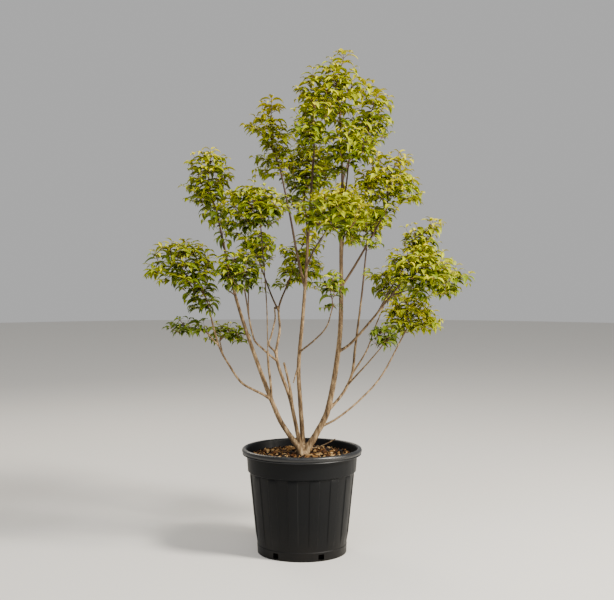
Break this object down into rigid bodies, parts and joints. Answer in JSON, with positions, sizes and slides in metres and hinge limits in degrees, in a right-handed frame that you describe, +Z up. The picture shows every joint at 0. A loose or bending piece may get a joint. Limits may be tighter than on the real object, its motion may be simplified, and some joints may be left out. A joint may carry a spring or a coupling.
{
  "type": "potted multi-stem ornamental shrub",
  "caption": "Tall open leafy shrub with several slender stems rising from one short trunk in a round ribbed nursery pot, its arching sprays of pointed leaves spread all round.",
  "frame": {"origin": "middle of the pot's flat underside, at the level it stands on", "axes": "+Z up along the trunk, -Y towards the plant's front, +X to the right seen from the front"},
  "size_m": [1.3612, 1.0314, 2.0855],
  "materials": {
    "pot": "moulded charcoal-black polypropylene, satin, slightly scuffed",
    "potting_mix": "moist composted bark chips with a few pale ones",
    "bark": "smooth tan-grey young bark with fine pores, redder on the thin shoots",
    "leaves": "thin glossy leaves, deep green inside to yellow-green and gold at the shoot tips"
  },
  "bodies": {
    "root": {"pot": "pot", "potting_mix": "potting_mix", "trunk": "bark", "right_stem": "bark", "left_stem": "bark", "centre_stem": "bark", "inner_left_stem": "bark", "far_left_bough": "bark", "low_left_bough": "bark", "low_inner_bough": "bark", "left_front_bough": "bark", "left_side_bough": "bark", "left_back_bough": "bark", "high_left_bough": "bark", "centre_back_bough": "bark", "centre_front_bough": "bark", "low_centre_bough": "bark", "top_right_bough": "bark", "high_right_bough": "bark", "right_bough": "bark", "centre_far_bough": "bark", "right_side_bough": "bark", "far_right_top_bough": "bark", "far_right_bough": "bark", "right_back_stem": "bark", "right_back_bough": "bark", "lower_right_bough": "bark", "low_right_bough": "bark", "broken_stub": "bark", "low_shoot": "bark", "top_spray": "leaves", "top_right_spray": "leaves", "top_left_spray": "leaves", "high_left_spray": "leaves", "high_right_spray": "leaves", "upper_left_spray": "leaves", "right_spray": "leaves", "centre_back_spray": "leaves", "centre_far_spray": "leaves", "left_front_spray": "leaves", "centre_front_spray": "leaves", "right_back_spray": "leaves", "left_back_spray": "leaves", "centre_low_spray": "leaves", "far_right_top_spray": "leaves", "left_side_spray": "leaves", "right_side_spray": "leaves", "far_left_spray": "leaves", "far_right_spray": "leaves", "low_centre_spray": "leaves", "right_inner_spray": "leaves", "low_right_spray": "leaves", "low_left_spray": "leaves", "lower_right_spray": "leaves", "low_inner_spray": "leaves"}
  },
  "joints": []
}
